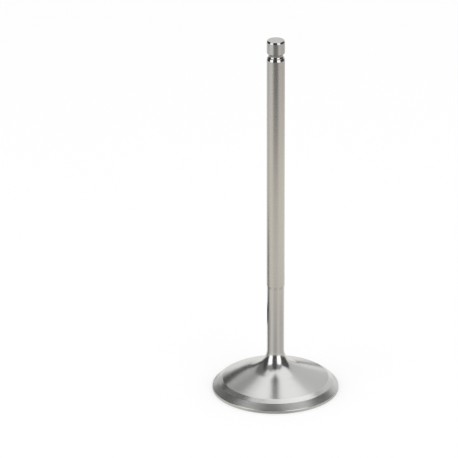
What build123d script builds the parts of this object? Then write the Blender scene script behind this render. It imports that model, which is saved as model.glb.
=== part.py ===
from build123d import *

import math
import os

# Poppet valve of a small four-valve engine, turned and ground as one piece. It stands head down:
# the flat face of the head is at z = 0 and the stem runs up +Z. All sizes in millimetres and degrees.

# whole valve
overall_length = 114.7

# head, from the flat face upward
head_diameter = 39.0
face_edge_chamfer = 0.1
margin_height = 0.95  # the plain rim, its bottom chamfer included
seat_angle = 45.0
seat_width = 1.65  # measured across the radius
back_cut_angle = 33.0
back_cut_width = 1.43  # measured across the radius

# underhead and neck
underhead_angle = 20.3
neck_lower_radius = 13.65
neck_blend_angle = 36.0  # slope at which the lower neck arc hands over to the upper one
neck_upper_radius = 6.3
undercut_diameter = 5.28

# stem
stem_diameter = 5.48
step_height = 34.35  # middle of the taper between undercut and ground stem
step_length = 0.9

# keeper groove and tip
groove_depth = 0.52
groove_radius = 0.9
groove_to_tip = 4.84  # deepest point of the groove below the tip
groove_relief_depth = 0.18
groove_relief_length = 0.7
tip_chamfer_width = 0.22
tip_chamfer_height = 0.6


def rise(width, angle):
    """Height gained over a radial width at a slope from the horizontal."""
    return width * math.tan(math.radians(angle))


def on_arc(centre, radius, slope):
    """Point of a concave arc, open to the outside and top, where the surface has this slope."""
    angle = math.radians(slope)
    return centre[0] - radius * math.sin(angle), centre[1] - radius * math.cos(angle)


# Head outline: rim, seat and back-cut, as (radius, height) points.
head_radius = head_diameter / 2
seat_inner = (head_radius - seat_width, margin_height + rise(seat_width, seat_angle))
ridge = (seat_inner[0] - back_cut_width, seat_inner[1] + rise(back_cut_width, back_cut_angle))

# Neck: two arcs tangent to each other, to the underhead cone and to the undercut.
undercut_radius = undercut_diameter / 2
under, blend = math.radians(underhead_angle), math.radians(neck_blend_angle)
upper_centre_radius = undercut_radius + neck_upper_radius
lower_centre_radius = upper_centre_radius + (neck_lower_radius - neck_upper_radius) * math.sin(blend)
cone_top_radius = lower_centre_radius - neck_lower_radius * math.sin(under)
cone_top = (cone_top_radius, ridge[1] + rise(ridge[0] - cone_top_radius, underhead_angle))
lower_centre = (lower_centre_radius, cone_top[1] + neck_lower_radius * math.cos(under))
upper_centre = (
    upper_centre_radius,
    lower_centre[1] - (neck_lower_radius - neck_upper_radius) * math.cos(blend),
)
neck_blend = on_arc(lower_centre, neck_lower_radius, neck_blend_angle)
lower_middle = on_arc(lower_centre, neck_lower_radius, (underhead_angle + neck_blend_angle) / 2)
upper_middle = on_arc(upper_centre, neck_upper_radius, (neck_blend_angle + 90) / 2)
neck_top = (undercut_radius, upper_centre[1])

# Groove: one arc as deep as groove_depth, cut short below by the relief.
stem_radius = stem_diameter / 2
groove_floor = (stem_radius - groove_depth, overall_length - groove_to_tip)


def groove_half_height(depth_left):
    """Height from the groove's middle to where its arc is still this deep below the stem surface."""
    reach = groove_radius - (groove_depth - depth_left)
    return math.sqrt(groove_radius**2 - reach**2)


groove_top = (stem_radius, groove_floor[1] + groove_half_height(0))
relief_top = (stem_radius - groove_relief_depth, groove_floor[1] - groove_half_height(groove_relief_depth))
relief_bottom = (stem_radius, relief_top[1] - groove_relief_length)

with BuildPart() as valve:
    with BuildSketch(Plane.XZ):
        with BuildLine():
            Polyline(
                (0, 0),
                (head_radius - face_edge_chamfer, 0),
                (head_radius, face_edge_chamfer),
                (head_radius, margin_height),
                seat_inner,
                ridge,
                cone_top,
            )
            ThreePointArc(cone_top, lower_middle, neck_blend)
            ThreePointArc(neck_blend, upper_middle, neck_top)
            Polyline(
                neck_top,
                (undercut_radius, step_height - step_length / 2),
                (stem_radius, step_height + step_length / 2),
                relief_bottom,
                relief_top,
            )
            ThreePointArc(relief_top, groove_floor, groove_top)
            Polyline(
                groove_top,
                (stem_radius, overall_length - tip_chamfer_height),
                (stem_radius - tip_chamfer_width, overall_length),
                (0, overall_length),
                (0, 0),
            )
        make_face()
    revolve(axis=Axis.Z)

valve.part.label = "valve"

os.makedirs("parts", exist_ok=True)
export_step(valve.part, "parts/valve.step")
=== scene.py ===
"""Engine valve in one piece of steel, turned, ground and polished, standing on its head in a small studio.

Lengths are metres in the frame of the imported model. +Z runs up the stem, from the head's flat face at Z = 0.
Bearings go round the valve as the camera sees it: 0 is towards the camera (-Y), and positive is to its right.
Angles and bearings are degrees, unless a docstring says radians.
"""

from __future__ import annotations

import logging
import math
from collections.abc import Sequence
from dataclasses import dataclass
from enum import Enum

import bmesh
import bpy
from mathutils import Matrix, Vector

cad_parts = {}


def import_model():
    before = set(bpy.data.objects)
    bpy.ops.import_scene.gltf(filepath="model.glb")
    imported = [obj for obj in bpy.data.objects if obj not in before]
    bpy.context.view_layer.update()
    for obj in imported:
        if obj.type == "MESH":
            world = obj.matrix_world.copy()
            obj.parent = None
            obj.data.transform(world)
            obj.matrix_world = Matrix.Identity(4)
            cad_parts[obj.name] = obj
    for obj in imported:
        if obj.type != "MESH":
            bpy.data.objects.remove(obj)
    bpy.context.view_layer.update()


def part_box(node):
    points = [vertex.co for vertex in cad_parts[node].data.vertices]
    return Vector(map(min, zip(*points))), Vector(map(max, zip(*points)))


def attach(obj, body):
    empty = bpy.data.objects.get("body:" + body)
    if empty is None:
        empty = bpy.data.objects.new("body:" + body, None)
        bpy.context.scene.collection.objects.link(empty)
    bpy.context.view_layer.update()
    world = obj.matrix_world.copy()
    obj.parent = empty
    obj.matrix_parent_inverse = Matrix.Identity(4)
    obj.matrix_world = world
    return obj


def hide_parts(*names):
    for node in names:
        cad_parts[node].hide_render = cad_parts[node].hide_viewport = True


LOG = logging.getLogger("engine_valve")
MM = 0.001
NODE = "valve"
BODY = "root"

Colour = tuple[float, float, float]
Pair = tuple[float, float]
Place = tuple[float, float]  # (distance from the axis, height) of a point of an outline
Place3 = tuple[float, float, float]
Socket = bpy.types.NodeSocket


# ---------------------------------------------------------------------------------------------------------
# Helpers
# ---------------------------------------------------------------------------------------------------------


def mesh_of(shape: bmesh.types.BMesh, name: str) -> bpy.types.Mesh:
    """Keeps a finished shape as mesh data.

    Args:
        shape: the shape, which is freed.
        name: the data's name.

    Returns:
        The mesh data.
    """
    data = bpy.data.meshes.new(name)
    shape.to_mesh(data)
    shape.free()
    return data


def add_object(name: str, data: bpy.types.ID) -> bpy.types.Object:
    """Puts a new object into the scene, at the origin.

    Args:
        name: the object's name.
        data: its mesh, lamp or camera.

    Returns:
        The object.
    """
    thing = bpy.data.objects.new(name, data)
    bpy.context.scene.collection.objects.link(thing)
    return thing


class NodeSheet:
    """The node tree of one material or world, with short ways to add and join nodes."""

    def __init__(self, owner: bpy.types.Material | bpy.types.World) -> None:
        """Empties the owner's tree.

        Args:
            owner: the material or world that the nodes belong to.
        """
        owner.use_nodes = True
        self.tree = owner.node_tree
        self.tree.nodes.clear()

    def add(self, kind: str, **settings: float | str | Sequence[float]) -> bpy.types.Node:
        """Adds a shader node.

        Args:
            kind: the node's type without its "ShaderNode".
            settings: values for its inputs, or for its own settings where no input has that name.

        Returns:
            The new node.
        """
        node = self.tree.nodes.new("ShaderNode" + kind)
        for name, value in settings.items():
            if name in node.inputs:
                node.inputs[name].default_value = value
            else:
                setattr(node, name, value)
        return node

    def join(self, source: Socket, target: Socket) -> None:
        """Links an output to an input."""
        self.tree.links.new(source, target)

    def math(self, operation: str, first: Socket, second: Socket | float) -> Socket:
        """Works out one number from two.

        Args:
            operation: the Math node's operation.
            first: an output.
            second: an output or a number.

        Returns:
            The result's socket.
        """
        node = self.add("Math", operation=operation)
        self.join(first, node.inputs[0])
        if isinstance(second, Socket):
            self.join(second, node.inputs[1])
        else:
            node.inputs[1].default_value = second
        return node.outputs[0]

    def ramp(self, value: Socket, ends: Pair) -> Socket:
        """Rises smoothly from 0 to 1.

        Args:
            value: what it follows.
            ends: the values at which it leaves 0 and reaches 1.

        Returns:
            The result's socket.
        """
        ramp = self.add("MapRange", data_type="FLOAT", interpolation_type="SMOOTHSTEP")
        ramp.inputs["From Min"].default_value, ramp.inputs["From Max"].default_value = ends
        self.join(value, ramp.inputs["Value"])
        return ramp.outputs["Result"]

    def stops(self, value: Socket, stops: Sequence[tuple[float, Colour]]) -> Socket:
        """Runs through colours as a length grows.

        Args:
            value: the length, up to 1 metre.
            stops: the lengths with their colours, shortest first.

        Returns:
            The colour's socket.
        """
        node = self.add("ValToRGB")
        elements = node.color_ramp.elements
        elements[0].position, elements[1].position = stops[0][0], stops[-1][0]
        elements[0].color, elements[1].color = (*stops[0][1], 1), (*stops[-1][1], 1)
        for length, colour in stops[1:-1]:
            elements.new(length).color = (*colour, 1)
        self.join(value, node.inputs["Fac"])
        return node.outputs["Color"]

    def blend(self, share: Socket, first: Socket | Colour, second: Socket | Colour) -> Socket:
        """Mixes two colours.

        Args:
            share: the second colour's share.
            first: an output or plain values.
            second: an output or plain values.

        Returns:
            The mixed colour's socket.
        """
        node = self.add("Mix", data_type="RGBA")
        self.join(share, node.inputs["Factor"])
        for name, colour in (("A", first), ("B", second)):
            if isinstance(colour, Socket):
                self.join(colour, node.inputs[name])
            else:
                node.inputs[name].default_value = (*colour, 1)
        return node.outputs["Result"]

    def lathe_coordinates(self, scale: tuple[float, float, float]) -> Socket:
        """Makes coordinates whose third axis follows the outline, so that one pattern suits face and stem.

        Args:
            scale: factors for X, Y and the way along the outline.

        Returns:
            The vector's socket.
        """
        place = self.add("TexCoord").outputs["Object"]
        parts = self.add("SeparateXYZ")
        self.join(place, parts.inputs[0])
        flat = self.add("VectorMath", operation="MULTIPLY")
        self.join(place, flat.inputs[0])
        flat.inputs[1].default_value = (1, 1, 0)
        radius = self.add("VectorMath", operation="LENGTH")
        self.join(flat.outputs[0], radius.inputs[0])
        along = self.math("SUBTRACT", parts.outputs["Z"], radius.outputs["Value"])
        vector = self.add("CombineXYZ")
        for axis, (source, factor) in enumerate(zip((parts.outputs["X"], parts.outputs["Y"], along), scale)):
            self.join(self.math("MULTIPLY", source, factor), vector.inputs[axis])
        return vector.outputs[0]

    def round_tangent(self) -> Socket:
        """Finds the direction round the axis at each point, which the lathe's marks follow.

        Returns:
            The direction's socket.
        """
        turn = self.add("VectorMath", operation="CROSS_PRODUCT")
        turn.inputs[0].default_value = (0, 0, 1)
        self.join(self.add("TexCoord").outputs["Object"], turn.inputs[1])
        unit = self.add("VectorMath", operation="NORMALIZE")
        self.join(turn.outputs[0], unit.inputs[0])
        return unit.outputs[0]


# ---------------------------------------------------------------------------------------------------------
# Finishes
# ---------------------------------------------------------------------------------------------------------


class Grain(Enum):
    """Which way the marks of a tool or a wheel run."""

    ROUND = "round"
    LENGTHWISE = "lengthwise"

    @property
    def highlight_turn(self) -> float:
        """How far a stretched highlight turns from the way round the axis, in full turns."""
        return 0.25 if self is Grain.ROUND else 0.0


class Finish(Enum):
    """The finishes on the valve, from the flat face up to the tip."""

    TURNED_FACE = "turned_face"
    GROUND_MARGIN = "ground_margin"
    GROUND_SEAT = "ground_seat"
    CUT_BAND = "cut_band"  # the back-cut
    POLISHED_UNDERHEAD = "polished_underhead"
    TURNED_UNDERCUT = "turned_undercut"
    GROUND_STEM = "ground_stem"
    POLISHED_GROOVE = "polished_groove"
    TURNED_SHOULDER_PAINTED_SHADE = "turned_shoulder_painted_shade"  # the upper half of the keeper groove, coloured dark as painted shade
    GROUND_LAND = "ground_land"  # between the groove and the tip's chamfer
    POLISHED_CHAMFER = "polished_chamfer"
    GROUND_TIP = "ground_tip"


@dataclass(frozen=True)
class SteelFinish:
    """How steel looks after one kind of machining.

    Args:
        colour: reflectance of the bare metal.
        roughness: average roughness of the gloss.
        anisotropy: how far the marks stretch a highlight across themselves, 0 to 1.
        grain: which way the marks run.
        pitch: distance between marks.
        depth: height of the marks.
        contrast: share by which the marks darken and brighten the metal.
        wander: how far the roughness strays from its average over larger patches.
    """

    STREAK = 60.0  # length of a mark, in pitches
    PATCHES = (120.0, 120.0, 700.0)  # patches of roughness to the metre, in X, in Y and along the outline
    NOISE_RANGE = (0.25, 0.75)  # where nearly all of a noise texture's values lie

    colour: Colour
    roughness: float
    anisotropy: float = 0.0
    grain: Grain = Grain.ROUND
    pitch: float = 0.15 * MM
    depth: float = 0.0004 * MM
    contrast: float = 0.06
    wander: float = 0.03

    def material(self, name: str) -> bpy.types.Material:
        """Builds the finish's material.

        Args:
            name: the material's name.

        Returns:
            The new material.
        """
        material = bpy.data.materials.new(name)
        nodes = NodeSheet(material)
        marks = self._marks(nodes)
        steel = nodes.add("BsdfPrincipled", Metallic=1.0, Anisotropic=self.anisotropy)
        steel.inputs["Anisotropic Rotation"].default_value = self.grain.highlight_turn
        nodes.join(self._tone(nodes, marks), steel.inputs["Base Color"])
        nodes.join(self._sheen(nodes), steel.inputs["Roughness"])
        bump = nodes.add("Bump", Strength=1.0, Distance=self.depth)
        nodes.join(marks, bump.inputs["Height"])
        nodes.join(bump.outputs["Normal"], steel.inputs["Normal"])
        nodes.join(nodes.round_tangent(), steel.inputs["Tangent"])
        nodes.join(steel.outputs["BSDF"], nodes.add("OutputMaterial").inputs["Surface"])
        return material

    def _marks(self, nodes: NodeSheet) -> Socket:
        """Draws the tool's fine marks, as a pattern stretched along them.

        Args:
            nodes: the material's nodes.

        Returns:
            The pattern's socket.
        """
        across, along = 1 / self.pitch, 1 / (self.STREAK * self.pitch)
        scale = (along, along, across) if self.grain is Grain.ROUND else (across, across, along)
        noise = nodes.add("TexNoise", Scale=1.0, Detail=2.0, Roughness=0.6)
        nodes.join(nodes.lathe_coordinates(scale), noise.inputs["Vector"])
        return noise.outputs["Fac"]

    def _tone(self, nodes: NodeSheet, marks: Socket) -> Socket:
        """Colours the metal, darker in the marks and brighter between them.

        Args:
            nodes: the material's nodes.
            marks: the pattern of the marks.

        Returns:
            The colour's socket.
        """
        tone = nodes.add("Mix", data_type="RGBA")
        dark = [channel * (1 - self.contrast) for channel in self.colour]
        light = [min(1.0, channel * (1 + self.contrast)) for channel in self.colour]
        tone.inputs["A"].default_value = (*dark, 1)
        tone.inputs["B"].default_value = (*light, 1)
        nodes.join(marks, tone.inputs["Factor"])
        return tone.outputs["Result"]

    def _sheen(self, nodes: NodeSheet) -> Socket:
        """Lets the roughness wander slowly over the surface.

        Args:
            nodes: the material's nodes.

        Returns:
            The roughness's socket.
        """
        patches = nodes.add("TexNoise", Scale=1.0, Detail=1.0)
        nodes.join(nodes.lathe_coordinates(self.PATCHES), patches.inputs["Vector"])
        spread = nodes.add("MapRange", data_type="FLOAT")
        spread.inputs["From Min"].default_value, spread.inputs["From Max"].default_value = self.NOISE_RANGE
        spread.inputs["To Min"].default_value = self.roughness - self.wander
        spread.inputs["To Max"].default_value = self.roughness + self.wander
        nodes.join(patches.outputs["Fac"], spread.inputs["Value"])
        return spread.outputs["Result"]


FINISHES: dict[Finish, SteelFinish] = {
    Finish.TURNED_FACE: SteelFinish((0.60, 0.59, 0.57), 0.34, anisotropy=0.6, pitch=0.12 * MM),
    Finish.GROUND_MARGIN: SteelFinish((0.62, 0.61, 0.59), 0.24, anisotropy=0.3),
    Finish.GROUND_SEAT: SteelFinish(
        (0.665, 0.665, 0.655), 0.33, pitch=0.3 * MM, depth=0.0009 * MM, contrast=0.35
    ),
    Finish.CUT_BAND: SteelFinish(
        (0.70, 0.70, 0.69), 0.25, pitch=0.2 * MM, depth=0.0001 * MM, contrast=0.03, wander=0.01
    ),
    Finish.POLISHED_UNDERHEAD: SteelFinish(
        (0.62, 0.62, 0.61), 0.205, pitch=0.25 * MM, contrast=0.03, wander=0.02
    ),
    Finish.TURNED_UNDERCUT: SteelFinish((0.62, 0.61, 0.59), 0.24, contrast=0.04, wander=0.01),
    Finish.GROUND_STEM: SteelFinish(
        (0.622, 0.612, 0.600),
        0.27,
        anisotropy=0.6,
        grain=Grain.LENGTHWISE,
        depth=0.0001 * MM,
        contrast=0.03,
        wander=0.01,
    ),
    Finish.POLISHED_GROOVE: SteelFinish((0.51, 0.505, 0.50), 0.08, contrast=0.02, wander=0.01),
    # Painted shade in the keeper groove: its upper wall is coloured much darker than the rest of the steel.
    Finish.TURNED_SHOULDER_PAINTED_SHADE: SteelFinish((0.36, 0.36, 0.36), 0.25, contrast=0.03, wander=0.01),
    Finish.GROUND_LAND: SteelFinish((0.60, 0.60, 0.59), 0.27, depth=0.0002 * MM, wander=0.01),
    Finish.POLISHED_CHAMFER: SteelFinish((0.43, 0.425, 0.42), 0.06, contrast=0.02, wander=0.01),
    Finish.GROUND_TIP: SteelFinish((0.505, 0.497, 0.49), 0.3, pitch=0.2 * MM),
}


# ---------------------------------------------------------------------------------------------------------
# The valve
# ---------------------------------------------------------------------------------------------------------


class Lathe:
    """Turns runs of an outline about the Z axis into one closed mesh, from the flat face upward."""

    STEPS = 256  # round the axis
    WELD = 0.001 * MM  # points closer than this are one
    BREAK_STRIPS = 3  # across a rounded edge
    LARGE_SHARE = 0.5  # a face is large from this share of the largest face at the same vertex

    def __init__(self) -> None:
        """Starts with an empty mesh."""
        self.mesh = bmesh.new()
        self.finishes: list[Finish] = []

    def turn(self, finish: Finish, *places: Place, rings: int = 0) -> None:
        """Turns a run of straight stretches.

        Args:
            finish: the finish of what it makes.
            places: the points along the run.
            rings: extra rings of points in each stretch.
        """
        run = bmesh.new()
        points = [run.verts.new((radius, 0, height)) for radius, height in places]
        wires = [run.edges.new(pair) for pair in zip(points, points[1:])]
        if rings:
            bmesh.ops.subdivide_edges(run, edges=wires, cuts=rings)
        self._sweep(finish, run)

    def turn_arc(self, finish: Finish, start: Place, centre: Place, angle: float, segments: int) -> None:
        """Turns a hollow arc that is open to the outside.

        Args:
            finish: the finish of what it makes.
            start: the arc's lower end.
            centre: the arc's centre.
            angle: degrees from the lower end to the upper one.
            segments: straight pieces in the arc.
        """
        run = bmesh.new()
        bmesh.ops.spin(
            run,
            geom=[run.verts.new((start[0], 0, start[1]))],
            cent=(centre[0], 0, centre[1]),
            axis=(0, 1, 0),
            angle=math.radians(angle),
            steps=segments,
        )
        self._sweep(finish, run)

    def _sweep(self, finish: Finish, run: bmesh.types.BMesh) -> None:
        """Spins a wire once round the axis and adds the result to the valve.

        Args:
            finish: the finish of the new faces.
            run: the wire, which is used up.
        """
        if finish not in self.finishes:
            self.finishes.append(finish)
        bmesh.ops.spin(
            run,
            geom=run.verts[:] + run.edges[:],
            cent=(0, 0, 0),
            axis=(0, 0, 1),
            angle=math.tau,
            steps=self.STEPS,
            use_merge=True,
        )
        for face in run.faces:
            face.material_index = self.finishes.index(finish)
        data = mesh_of(run, finish.value)
        self.mesh.from_mesh(data)
        bpy.data.meshes.remove(data)

    def weld(self) -> None:
        """Joins the runs to each other, closes both poles and points every face outwards."""
        bmesh.ops.remove_doubles(self.mesh, verts=self.mesh.verts[:], dist=self.WELD)
        bmesh.ops.recalc_face_normals(self.mesh, faces=self.mesh.faces[:])

    def break_edge(self, place: Place, width: float) -> None:
        """Rounds the sharp ring through a point of the outline.

        Args:
            place: the point.
            width: how far the rounding reaches from the ring.
        """
        ring = [edge for edge in self.mesh.edges if all(self._is_at(vert, place) for vert in edge.verts)]
        bmesh.ops.bevel(
            self.mesh,
            geom=ring,
            offset=width,
            offset_type="OFFSET",
            affect="EDGES",
            segments=self.BREAK_STRIPS,
            profile=0.5,
            material=-1,
        )

    def _is_at(self, vert: bmesh.types.BMVert, place: Place) -> bool:
        """Whether a vertex lies on the ring through a point of the outline."""
        radius = math.hypot(vert.co.x, vert.co.y)
        return abs(radius - place[0]) < self.WELD and abs(vert.co.z - place[1]) < self.WELD

    def _shading_normal(self, vert: bmesh.types.BMVert) -> Vector:
        """Averages the normals of the large faces at a vertex, so that flats stay flat beside a rounded edge.

        Args:
            vert: the vertex.

        Returns:
            The normal to shade it with.
        """
        areas = {face: face.calc_area() for face in vert.link_faces}
        large = max(areas.values()) * self.LARGE_SHARE
        return sum((face.normal for face, area in areas.items() if area >= large), Vector()).normalized()

    def piece(self, name: str) -> bpy.types.Object:
        """Makes the finished object.

        Args:
            name: the object's name.

        Returns:
            The object, with a material for each finish.
        """
        for face in self.mesh.faces:
            face.smooth = True
        normals = [self._shading_normal(vert) for vert in self.mesh.verts]
        data = mesh_of(self.mesh, name)
        data.normals_split_custom_set_from_vertices(normals)
        for finish in self.finishes:
            data.materials.append(FINISHES[finish].material(finish.value))
        return add_object(name, data)


def rise(width: float, angle: float) -> float:
    """Height gained over a radial width at an angle from the horizontal."""
    return width * math.tan(math.radians(angle))


@dataclass(frozen=True)
class Head:
    """The disc that closes the port: flat face, margin, seat, back-cut and underhead cone.

    Each angle is measured from the horizontal, and each width across the radius.
    """

    radius: float
    edge_chamfer: float = 0.1 * MM
    margin_height: float = 0.95 * MM
    seat_angle: float = 45.0
    seat_width: float = 1.65 * MM
    back_cut_angle: float = 33.0
    back_cut_width: float = 1.43 * MM
    underhead_angle: float = 20.3
    sharp_break: float = 0.04 * MM
    soft_break: float = 0.1 * MM
    face_rings: int = 11
    band_rings: int = 2
    cone_rings: int = 7

    @property
    def face_rim(self) -> Place:
        """Where the flat face meets the edge chamfer."""
        return self.radius - self.edge_chamfer, 0.0

    @property
    def chamfer_top(self) -> Place:
        """Where the edge chamfer meets the margin."""
        return self.radius, self.edge_chamfer

    @property
    def margin_top(self) -> Place:
        """Where the margin meets the seat."""
        return self.radius, self.margin_height

    @property
    def seat_inner(self) -> Place:
        """Where the seat meets the back-cut."""
        return self.radius - self.seat_width, self.margin_height + rise(self.seat_width, self.seat_angle)

    @property
    def ridge(self) -> Place:
        """Where the back-cut meets the underhead cone."""
        radius, height = self.seat_inner
        return radius - self.back_cut_width, height + rise(self.back_cut_width, self.back_cut_angle)

    def turn(self, lathe: Lathe, cone_top: Place) -> None:
        """Turns the head.

        Args:
            lathe: what turns it.
            cone_top: where the underhead cone hands over to the neck.
        """
        lathe.turn(Finish.TURNED_FACE, (0.0, 0.0), self.face_rim, rings=self.face_rings)
        lathe.turn(Finish.GROUND_MARGIN, self.face_rim, self.chamfer_top, self.margin_top)
        lathe.turn(Finish.GROUND_SEAT, self.margin_top, self.seat_inner, rings=self.band_rings)
        lathe.turn(Finish.CUT_BAND, self.seat_inner, self.ridge, rings=self.band_rings)
        lathe.turn(Finish.POLISHED_UNDERHEAD, self.ridge, cone_top, rings=self.cone_rings)

    def break_edges(self, lathe: Lathe) -> None:
        """Rounds the head's edges.

        Args:
            lathe: what turned them.
        """
        for place in (self.face_rim, self.chamfer_top):
            lathe.break_edge(place, self.sharp_break)
        for place in (self.margin_top, self.seat_inner, self.ridge):
            lathe.break_edge(place, self.soft_break)


@dataclass(frozen=True)
class Neck:
    """The tulip between head and stem: two arcs tangent to each other, to the cone and to the undercut.

    The blend angle is the slope, from the horizontal, where the lower arc hands over to the upper one.
    """

    head: Head
    lower_radius: float = 13.65 * MM
    blend_angle: float = 36.0
    upper_radius: float = 6.3 * MM
    undercut_radius: float = 2.64 * MM
    lower_segments: int = 14
    upper_segments: int = 36

    @property
    def lower_centre_radius(self) -> float:
        """Distance of the lower arc's centre from the axis."""
        reach = (self.lower_radius - self.upper_radius) * math.sin(math.radians(self.blend_angle))
        return self.undercut_radius + self.upper_radius + reach

    @property
    def cone_top(self) -> Place:
        """Finds where the underhead cone hands over to the lower arc.

        Returns:
            The point of the outline.
        """
        angle = self.head.underhead_angle
        radius = self.lower_centre_radius - self.lower_radius * math.sin(math.radians(angle))
        ridge_radius, ridge_height = self.head.ridge
        return radius, ridge_height + rise(ridge_radius - radius, angle)

    @property
    def lower_centre(self) -> Place:
        """Centre of the lower arc."""
        lift = self.lower_radius * math.cos(math.radians(self.head.underhead_angle))
        return self.lower_centre_radius, self.cone_top[1] + lift

    @property
    def upper_centre(self) -> Place:
        """Centre of the upper arc."""
        drop = (self.lower_radius - self.upper_radius) * math.cos(math.radians(self.blend_angle))
        return self.undercut_radius + self.upper_radius, self.lower_centre[1] - drop

    @property
    def blend(self) -> Place:
        """Finds where the lower arc hands over to the upper one.

        Returns:
            The point of the outline.
        """
        angle = math.radians(self.blend_angle)
        radius, height = self.upper_centre
        return radius - self.upper_radius * math.sin(angle), height - self.upper_radius * math.cos(angle)

    @property
    def top(self) -> Place:
        """Where the neck hands over to the undercut."""
        return self.undercut_radius, self.upper_centre[1]

    def turn(self, lathe: Lathe) -> None:
        """Turns the neck.

        Args:
            lathe: what turns it.
        """
        finish = Finish.POLISHED_UNDERHEAD
        lower_sweep = self.blend_angle - self.head.underhead_angle
        upper_sweep = 90.0 - self.blend_angle
        lathe.turn_arc(finish, self.cone_top, self.lower_centre, lower_sweep, self.lower_segments)
        lathe.turn_arc(finish, self.blend, self.upper_centre, upper_sweep, self.upper_segments)


@dataclass(frozen=True)
class Stem:
    """The guided shaft: undercut, taper, ground length, keeper groove with its relief, and tip."""

    neck: Neck
    top: float  # height of the tip
    radius: float = 2.74 * MM
    step_height: float = 34.35 * MM
    step_length: float = 0.9 * MM
    groove_depth: float = 0.52 * MM
    groove_radius: float = 0.9 * MM
    groove_to_tip: float = 4.84 * MM
    relief_depth: float = 0.18 * MM
    relief_length: float = 0.7 * MM
    tip_chamfer_width: float = 0.22 * MM
    tip_chamfer_height: float = 0.6 * MM
    groove_segments: int = 8
    fine_break: float = 0.03 * MM
    tip_break: float = 0.1 * MM
    undercut_rings: int = 5
    guided_rings: int = 23
    land_rings: int = 1
    tip_rings: int = 3

    @property
    def taper_bottom(self) -> Place:
        """Where the undercut meets the taper."""
        return self.neck.undercut_radius, self.step_height - self.step_length / 2

    @property
    def taper_top(self) -> Place:
        """Where the taper meets the ground length."""
        return self.radius, self.step_height + self.step_length / 2

    def groove_half_height(self, depth_left: float) -> float:
        """Height from the groove's deepest ring to where its arc is this deep below the stem's surface."""
        reach = self.groove_radius - (self.groove_depth - depth_left)
        return math.sqrt(self.groove_radius**2 - reach**2)

    @property
    def groove_centre(self) -> Place:
        """Centre of the groove's arc."""
        return self.radius - self.groove_depth + self.groove_radius, self.top - self.groove_to_tip

    @property
    def groove_bottom(self) -> Place:
        """The groove's deepest ring."""
        return self.groove_centre[0] - self.groove_radius, self.groove_centre[1]

    @property
    def groove_top(self) -> Place:
        """The groove's upper edge."""
        return self.radius, self.groove_centre[1] + self.groove_half_height(0.0)

    @property
    def relief_top(self) -> Place:
        """Where the groove's arc meets the relief below it."""
        depth = self.relief_depth
        return self.radius - depth, self.groove_centre[1] - self.groove_half_height(depth)

    @property
    def relief_bottom(self) -> Place:
        """Where the relief meets the ground length."""
        return self.radius, self.relief_top[1] - self.relief_length

    @property
    def chamfer_bottom(self) -> Place:
        """Where the land above the groove meets the tip's chamfer."""
        return self.radius, self.top - self.tip_chamfer_height

    @property
    def tip_rim(self) -> Place:
        """Where the tip's chamfer meets its flat end."""
        return self.radius - self.tip_chamfer_width, self.top

    @property
    def groove_sweeps(self) -> Pair:
        """Works out how far the groove's arc reaches round its centre.

        Returns:
            The angles below and above the deepest ring.
        """
        below = math.asin(self.groove_half_height(self.relief_depth) / self.groove_radius)
        above = math.asin(self.groove_half_height(0.0) / self.groove_radius)
        return math.degrees(below), math.degrees(above)

    def turn(self, lathe: Lathe) -> None:
        """Turns the stem.

        Args:
            lathe: what turns it.
        """
        lathe.turn(Finish.TURNED_UNDERCUT, self.neck.top, self.taper_bottom, rings=self.undercut_rings)
        lathe.turn(Finish.TURNED_UNDERCUT, self.taper_bottom, self.taper_top)
        lathe.turn(Finish.GROUND_STEM, self.taper_top, self.relief_bottom, rings=self.guided_rings)
        lathe.turn(Finish.POLISHED_GROOVE, self.relief_bottom, self.relief_top)
        centre, segments = self.groove_centre, self.groove_segments
        below, above = self.groove_sweeps
        lathe.turn_arc(Finish.POLISHED_GROOVE, self.relief_top, centre, below, segments)
        lathe.turn_arc(Finish.TURNED_SHOULDER_PAINTED_SHADE, self.groove_bottom, centre, above, segments)
        lathe.turn(Finish.GROUND_LAND, self.groove_top, self.chamfer_bottom, rings=self.land_rings)
        lathe.turn(Finish.POLISHED_CHAMFER, self.chamfer_bottom, self.tip_rim)
        lathe.turn(Finish.GROUND_TIP, self.tip_rim, (0.0, self.top), rings=self.tip_rings)

    def break_edges(self, lathe: Lathe) -> None:
        """Rounds the stem's edges.

        Args:
            lathe: what turned them.
        """
        lower = (self.taper_bottom, self.taper_top, self.relief_bottom)
        upper = (self.relief_top, self.groove_top, self.chamfer_bottom)
        for place in (*lower, *upper):
            lathe.break_edge(place, self.fine_break)
        lathe.break_edge(self.tip_rim, self.tip_break)


@dataclass(frozen=True)
class Valve:
    """The whole valve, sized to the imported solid.

    Args:
        low: the solid's lowest corner.
        high: its highest corner.
    """

    low: Vector
    high: Vector

    def build(self) -> bpy.types.Object:
        """Turns head, neck and stem as one mesh.

        Returns:
            The finished piece.
        """
        head = Head(radius=max(self.high.x, -self.low.x))
        neck = Neck(head)
        stem = Stem(neck, top=self.high.z)
        lathe = Lathe()
        head.turn(lathe, neck.cone_top)
        neck.turn(lathe)
        stem.turn(lathe)
        lathe.weld()
        head.break_edges(lathe)
        stem.break_edges(lathe)
        return lathe.piece("turned_valve")


# ---------------------------------------------------------------------------------------------------------
# The studio
# ---------------------------------------------------------------------------------------------------------


def bearing_matrix(bearing: float) -> Matrix:
    """Turns the camera's side (-Y) to a bearing, in degrees."""
    return Matrix.Rotation(math.radians(bearing), 4, "Z")


def stage_painted_reflection(name: str, data: bpy.types.Mesh, brightness: float) -> bpy.types.Object:
    """Stages a plain grey thing that glows only in the metal, as a painted reflection.

    Args:
        name: the thing's name.
        data: its mesh.
        brightness: how bright it looks.

    Returns:
        The staged object.
    """
    material = bpy.data.materials.new(name)
    nodes = NodeSheet(material)
    grey = nodes.add("Emission", Strength=brightness)
    nodes.join(grey.outputs[0], nodes.add("OutputMaterial").inputs["Surface"])
    data.materials.append(material)
    thing = add_object(name, data)
    thing.visible_camera = False
    thing.visible_diffuse = False
    thing.visible_shadow = False
    return thing


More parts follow.
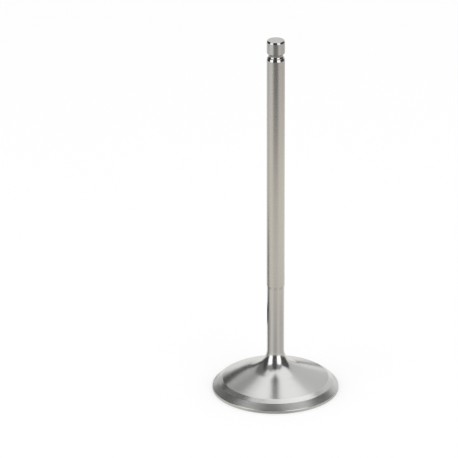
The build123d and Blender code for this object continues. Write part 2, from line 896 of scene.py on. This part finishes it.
def hang_lamp(name: str, size: Pair, radiance: float, place: Matrix) -> None:
    """Hangs a rectangular lamp that the camera doesn't see.

    Args:
        name: the lamp's name.
        size: the lengths of its sides.
        radiance: how bright it looks.
        place: where it hangs and which way it faces.
    """
    lamp = bpy.data.lights.new(name, "AREA")
    lamp.shape = "RECTANGLE"
    lamp.size, lamp.size_y = size
    lamp.energy = radiance * math.pi * size[0] * size[1]
    lamp_object = add_object(name, lamp)
    lamp_object.matrix_world = place
    lamp_object.visible_camera = False


@dataclass(frozen=True)
class SoftBox:
    """A rectangular lamp that stands upright and faces the valve.

    Args:
        name: the lamp's name.
        left: bearing of its left side.
        right: bearing of its right side.
        top: elevation of its upper edge.
        radiance: how bright it looks.
        distance: how far it stands from the valve.
    """

    name: str
    left: float
    right: float
    top: float
    radiance: float
    distance: float = 0.7

    def place(self) -> None:
        """Hangs the lamp."""
        width = 2 * self.distance * math.tan(math.radians((self.right - self.left) / 2))
        height = self.distance * math.tan(math.radians(self.top))
        stand = Matrix.Translation((0, -self.distance, height / 2))
        facing = Matrix.Rotation(math.radians(90), 4, "X")
        place = bearing_matrix((self.left + self.right) / 2) @ stand @ facing
        hang_lamp(self.name, (width, height), self.radiance, place)


@dataclass(frozen=True)
class Canopy:
    """A wide lamp that hangs level over the set.

    Args:
        name: the lamp's name.
        low: X and Y of one corner.
        high: X and Y of the opposite corner.
        height: how high it hangs.
        radiance: how bright it looks.
    """

    name: str
    low: Pair
    high: Pair
    height: float
    radiance: float

    def place(self) -> None:
        """Hangs the lamp."""
        width, depth = self.high[0] - self.low[0], self.high[1] - self.low[1]
        middle = (self.low[0] + width / 2, self.low[1] + depth / 2, self.height)
        hang_lamp(self.name, (width, depth), self.radiance, Matrix.Translation(middle))


@dataclass(frozen=True)
class Flag:
    """A grey sheet curved round the valve that glows as a painted reflection. Only the metal sees it, as a dim
    part of the room.

    Args:
        name: the sheet's name.
        left: bearing of its left side.
        right: bearing of its right side.
        outline: the points of its side edge, from the foot up.
        brightness: how bright it looks.
    """

    PANELS = 24  # round its curve

    name: str
    left: float
    right: float
    outline: tuple[Place, ...]
    brightness: float

    def place(self) -> None:
        """Hangs the sheet."""
        sheet = bmesh.new()
        points = [sheet.verts.new((0, -distance, height)) for distance, height in self.outline]
        wires = [sheet.edges.new(pair) for pair in zip(points, points[1:])]
        bmesh.ops.rotate(sheet, verts=points, matrix=bearing_matrix(self.left))
        bmesh.ops.spin(
            sheet,
            geom=points + wires,
            axis=(0, 0, 1),
            angle=math.radians(self.right - self.left),
            steps=self.PANELS,
        )
        stage_painted_reflection(self.name, mesh_of(sheet, self.name), self.brightness)


@dataclass(frozen=True)
class Rod:
    """A dark rod near the valve, a painted reflection. Only the metal sees it, as a fine line round the back
    of the head.

    Args:
        name: the rod's name.
        start: the middle of one end.
        end: the middle of the other end.
        radius: the rod's radius.
        brightness: how bright it looks.
    """

    SIDES = 24  # round its girth

    name: str
    start: Place3
    end: Place3
    radius: float
    brightness: float

    def place(self) -> None:
        """Lays the rod."""
        start, end = Vector(self.start), Vector(self.end)
        bar = bmesh.new()
        bmesh.ops.create_cone(
            bar,
            cap_ends=True,
            segments=self.SIDES,
            radius1=self.radius,
            radius2=self.radius,
            depth=(end - start).length,
        )
        rod = stage_painted_reflection(self.name, mesh_of(bar, self.name), self.brightness)
        aim = (end - start).to_track_quat("Z", "Y").to_matrix().to_4x4()
        rod.matrix_world = Matrix.Translation((start + end) / 2) @ aim


@dataclass(frozen=True)
class Ground:
    """A place on the floor, as its material sees it.

    Args:
        distance: the place's distance from the valve's axis.
        bearing: its bearing, in radians.
    """

    distance: Socket
    bearing: Socket


@dataclass(frozen=True)
class PaintedSector:
    """A sector of the floor's painted reflection that has another tone in the metal: painted shade as a rule,
    painted light where the tone is pale.

    Args:
        left: bearing of its left side.
        right: bearing of its right side.
        softness: half the width of the blur at those sides.
        strengths: share of the tone at distances from the valve, as (distance, share) pairs.
        tone: the sector's own colour.
    """

    left: float
    right: float
    softness: float
    strengths: tuple[Pair, ...]
    tone: Colour = (0.0, 0.0, 0.0)

    def cast(self, nodes: NodeSheet, ground: Ground, light: Socket) -> Socket:
        """Lays the sector over the floor's painted reflection in the metal.

        Args:
            nodes: the floor's nodes.
            ground: the place on the floor.
            light: the colour so far.

        Returns:
            The new colour's socket.
        """
        sides = [math.radians(side) for side in (self.left, self.right)]
        soft = math.radians(self.softness)
        enter = nodes.ramp(ground.bearing, (sides[0] - soft, sides[0] + soft))
        leave = nodes.ramp(ground.bearing, (sides[1] + soft, sides[1] - soft))
        sector = nodes.math("MULTIPLY", enter, leave)
        stops = [(distance, (share, share, share)) for distance, share in self.strengths]
        strength = nodes.stops(ground.distance, stops)
        return nodes.blend(nodes.math("MULTIPLY", sector, strength), light, self.tone)


@dataclass(frozen=True)
class Floor:
    """A large pale sheet under the valve: white with a faint shadow to the camera, and in the metal a painted
    reflection, cream with painted shade.

    Args:
        half_width: half the sheet's side.
        gap: how far the sheet lies below the flat face.
        paper: reflectance of the paper.
        white_to_camera: light added for the camera.
        left_painted_reflection: what the metal shows of the floor on the left, as (distance, colour) pairs.
        right_painted_reflection: the same on the right.
        side_blend: half the width of the change from left to right, in radians.
        painted_sectors: sectors of another tone in what the metal shows.
    """

    half_width: float = 3.5
    gap: float = 0.02 * MM
    paper: float = 0.5
    white_to_camera: float = 0.44
    # Painted reflection of the floor in the metal, paler and darker by distance.
    left_painted_reflection: tuple[tuple[float, Colour], ...] = (
        (0.022, (0.74, 0.735, 0.72)),
        (0.055, (0.78, 0.755, 0.72)),
        (0.120, (0.84, 0.80, 0.71)),
        (0.205, (0.84, 0.80, 0.72)),
        (0.262, (0.76, 0.75, 0.73)),
    )
    right_painted_reflection: tuple[tuple[float, Colour], ...] = (
        (0.022, (0.74, 0.735, 0.72)),
        (0.055, (0.76, 0.73, 0.70)),
        (0.120, (0.84, 0.80, 0.72)),
        (0.185, (0.86, 0.82, 0.73)),
        (0.233, (0.70, 0.67, 0.62)),
        (0.262, (0.62, 0.58, 0.55)),
    )
    side_blend: float = 1.0
    # Painted shade in the reflection by bearing, with pale painted light behind the valve.
    painted_sectors: tuple[PaintedSector, ...] = (
        PaintedSector(
            -32, 31, 9, ((0.05, 0.08), (0.09, 0.1), (0.155, 0.16), (0.185, 0.24), (0.233, 0.62), (0.26, 0.8))
        ),
        PaintedSector(-24, 16, 9, ((0.03, 0.26), (0.06, 0.2), (0.085, 0.0))),
        PaintedSector(-128, -92, 10, ((0.03, 0.65), (0.1, 0.8), (0.122, 0.7), (0.152, 0.22), (0.26, 0.22))),
        PaintedSector(-92, -70, 10, ((0.03, 0.2), (0.055, 0.4), (0.075, 0.0))),
        PaintedSector(50, 110, 14, ((0.03, 0.14), (0.06, 0.2), (0.085, 0.0))),
        # Behind the valve, a pale painted reflection, written from both sides because bearings end at 180.
        PaintedSector(125, 230, 10, ((0.05, 0.75), (0.1, 0.6), (0.26, 0.3)), (0.98, 0.97, 0.96)),
        PaintedSector(-230, -125, 10, ((0.05, 0.75), (0.1, 0.6), (0.26, 0.3)), (0.98, 0.97, 0.96)),
    )

    def place(self) -> None:
        """Lays the floor."""
        sheet = bmesh.new()
        bmesh.ops.create_grid(sheet, x_segments=1, y_segments=1, size=self.half_width)
        bmesh.ops.translate(sheet, verts=sheet.verts, vec=(0, 0, -self.gap))
        data = mesh_of(sheet, "floor")
        data.materials.append(self._material())
        floor = add_object("floor", data)

    def _material(self) -> bpy.types.Material:
        """Makes paper with white light for the camera, and a glow for what the metal shows: a painted
        reflection of the floor.

        Returns:
            The material.
        """
        material = bpy.data.materials.new("floor_paper")
        material.cycles.emission_sampling = "NONE"  # the glow is a painted reflection for the metal and is no lamp
        nodes = NodeSheet(material)
        path = nodes.add("LightPath")
        paper = nodes.add("BsdfDiffuse", Color=(self.paper, self.paper, self.paper, 1))
        white = nodes.add("Emission")
        to_camera = nodes.math("MULTIPLY", path.outputs["Is Camera Ray"], self.white_to_camera)
        nodes.join(to_camera, white.inputs["Strength"])
        lit_paper = nodes.add("AddShader")
        nodes.join(paper.outputs[0], lit_paper.inputs[0])
        nodes.join(white.outputs[0], lit_paper.inputs[1])
        # Painted reflection: a glow that only glossy and transmission rays see.
        painted_floor_glow = nodes.add("Emission")
        nodes.join(self._paint_floor_reflection(nodes), painted_floor_glow.inputs["Color"])
        either = nodes.add("MixShader")
        glossy, through = path.outputs["Is Glossy Ray"], path.outputs["Is Transmission Ray"]
        nodes.join(nodes.math("MAXIMUM", glossy, through), either.inputs[0])
        nodes.join(lit_paper.outputs[0], either.inputs[1])
        nodes.join(painted_floor_glow.outputs[0], either.inputs[2])
        nodes.join(either.outputs[0], nodes.add("OutputMaterial").inputs["Surface"])
        return material

    def _paint_floor_reflection(self, nodes: NodeSheet) -> Socket:
        """Paints the reflection of the sheet that the metal shows, by distance and by bearing.

        Args:
            nodes: the floor's nodes.

        Returns:
            The colour's socket.
        """
        place = nodes.add("TexCoord").outputs["Object"]
        parts = nodes.add("SeparateXYZ")
        nodes.join(place, parts.inputs[0])
        distance = nodes.add("VectorMath", operation="LENGTH")
        nodes.join(place, distance.inputs[0])
        ahead = nodes.math("MULTIPLY", parts.outputs["Y"], -1.0)
        bearing = nodes.math("ARCTAN2", parts.outputs["X"], ahead)
        ground = Ground(distance.outputs["Value"], bearing)
        left = nodes.stops(ground.distance, self.left_painted_reflection)
        right = nodes.stops(ground.distance, self.right_painted_reflection)
        light = nodes.blend(nodes.ramp(bearing, (-self.side_blend, self.side_blend)), left, right)
        for painted_sector in self.painted_sectors:
            light = painted_sector.cast(nodes, ground, light)
        return light


@dataclass(frozen=True)
class Room:
    """The white tent round the set."""

    strength: float = 1.0

    def paint(self) -> None:
        """Makes the world."""
        world = bpy.data.worlds.new("tent")
        bpy.context.scene.world = world
        nodes = NodeSheet(world)
        tent = nodes.add("Background", Color=(1, 1, 1, 1), Strength=self.strength)
        nodes.join(tent.outputs[0], nodes.add("OutputWorld").inputs["Surface"])


@dataclass(frozen=True)
class Camera:
    """A long lens that looks down on the valve from the front.

    Args:
        place: where the camera stands.
        tilt: how far it looks up from straight down.
        roll: its turn about the line of sight.
        lens: focal length in millimetres, on the default 36 mm sensor.
        reach: the nearest and the farthest distance that it shows.
    """

    place: Place3 = (-0.014246, -1.196, 0.55725)
    tilt: float = 67.151
    roll: float = -0.205
    lens: float = 334.06
    reach: Pair = (0.01, 20.0)

    def stand(self) -> None:
        """Sets the camera up."""
        lens = bpy.data.cameras.new("camera")
        lens.lens = self.lens
        lens.clip_start, lens.clip_end = self.reach
        camera = add_object("camera", lens)
        tilt = Matrix.Rotation(math.radians(self.tilt), 4, "X")
        roll = Matrix.Rotation(math.radians(self.roll), 4, "Z")
        camera.matrix_world = Matrix.Translation(self.place) @ tilt @ roll
        bpy.context.scene.camera = camera


@dataclass(frozen=True)
class Studio:
    """The set round the valve: camera, tent, floor, lamps, and flags and rod that are painted reflections."""

    camera: Camera = Camera()
    room: Room = Room()
    floor: Floor = Floor()
    boxes: tuple[SoftBox, ...] = (
        SoftBox("left_soft_box", -76, -36, 46, 0.9),
        SoftBox("right_soft_box", 17, 58, 46, 0.9),
    )
    canopy: Canopy = Canopy("overhead_canopy", (-0.2, -0.07), (0.6, 0.75), 0.8, 0.2)
    # Painted reflections: dim grey sheets that glow only in the metal.
    flags: tuple[Flag, ...] = (
        Flag("camera_side", -36, 17, ((0.65, 0.0), (0.65, 0.6), (0.08, 0.8)), 0.08),
        Flag("over_left_box", -92, -36, ((0.71, 0.76), (0.14, 0.8)), 0.35),
        Flag("over_right_box", 17, 66, ((0.71, 0.76), (0.2, 0.8)), 0.35),
        Flag("left_wall", -118, -76, ((0.7, 0.0), (0.7, 0.8), (0.4, 0.8)), 0.07),
        Flag("far_left_wall", -145, -118, ((0.7, 0.0), (0.7, 0.8), (0.4, 0.8)), 0.2),
        Flag("right_wall", 58, 125, ((0.7, 0.0), (0.7, 0.8)), 0.09),
        Flag("left_of_backdrop", -165, -145, ((0.7, 0.05), (0.7, 0.56)), 0.56),
        Flag("over_left_of_backdrop", -165, -145, ((0.7, 0.56), (0.7, 0.79), (0.62, 0.79)), 0.42),
        Flag("right_of_backdrop", 125, 165, ((0.7, 0.1), (0.7, 0.79), (0.62, 0.79)), 0.7),
    )
    # Painted reflection: a dark rod that only the metal sees.
    rod: Rod = Rod("dark_rod_painted_reflection", (-0.031, 0.0075, 0.0155), (0.031, 0.077, 0.0031), 3.0 * MM, 0.08)

    def set_up(self) -> None:
        """Builds the whole set and chooses a plain view of its colours."""
        self.camera.stand()
        self.room.paint()
        self.floor.place()
        for item in (*self.boxes, self.canopy, *self.flags, self.rod):
            item.place()
        bpy.context.scene.view_settings.view_transform = "Standard"


def main() -> None:
    """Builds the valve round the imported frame, then the studio."""
    logging.basicConfig(level=logging.INFO, format="%(message)s")
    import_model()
    low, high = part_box(NODE)
    piece = Valve(low, high).build()
    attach(piece, BODY)
    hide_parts(NODE)
    LOG.info("%s: %d faces", piece.name, len(piece.data.polygons))
    Studio().set_up()


if __name__ == "__main__":
    main()
